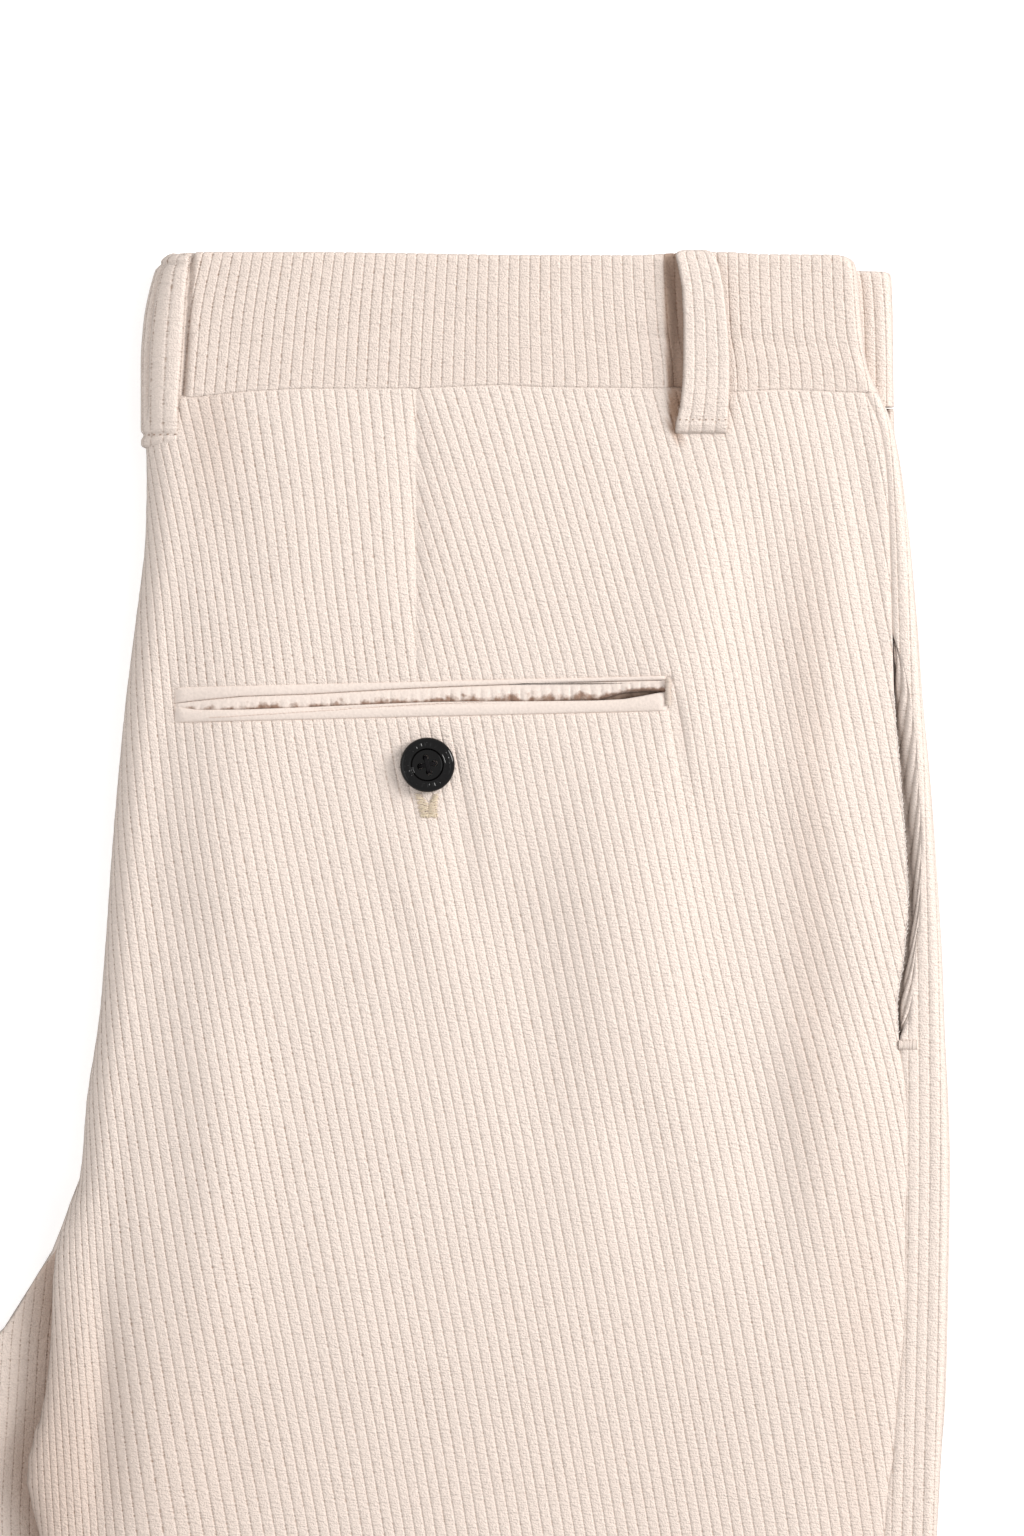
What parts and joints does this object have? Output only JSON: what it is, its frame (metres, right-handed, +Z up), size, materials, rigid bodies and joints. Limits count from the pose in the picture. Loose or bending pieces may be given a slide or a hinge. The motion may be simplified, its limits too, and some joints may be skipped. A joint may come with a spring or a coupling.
{
  "type": "folded corduroy trousers",
  "caption": "Wide-wale corduroy trousers folded in half along the centre back, back side up, with belt loops, a buttoned welt pocket at the back and a side pocket.",
  "frame": {"origin": "middle of the garment's outline, on the surface it lies on", "axes": "+X from the centre-back fold towards the side seam, +Y towards the waist, +Z up from the surface"},
  "size_m": [0.3011, 1.0605, 0.0218],
  "materials": {
    "cream_corduroy": "cut pile in wide wales, soft sheen",
    "black_plastic": "polished"
  },
  "bodies": {
    "root": {"right_back_panel": "cream_corduroy", "right_front_panel": "cream_corduroy", "left_back_panel": "cream_corduroy", "hidden_layers": "cream_corduroy", "right_waistband": "cream_corduroy", "left_waistband": "cream_corduroy", "side_back_loop": "cream_corduroy", "centre_back_loop": "cream_corduroy", "back_pocket_upper_welt": "cream_corduroy", "back_pocket_lower_welt": "cream_corduroy", "back_pocket_facing": "cream_corduroy", "side_pocket_facing": "cream_corduroy", "back_pocket_button": "black_plastic"}
  },
  "joints": []
}
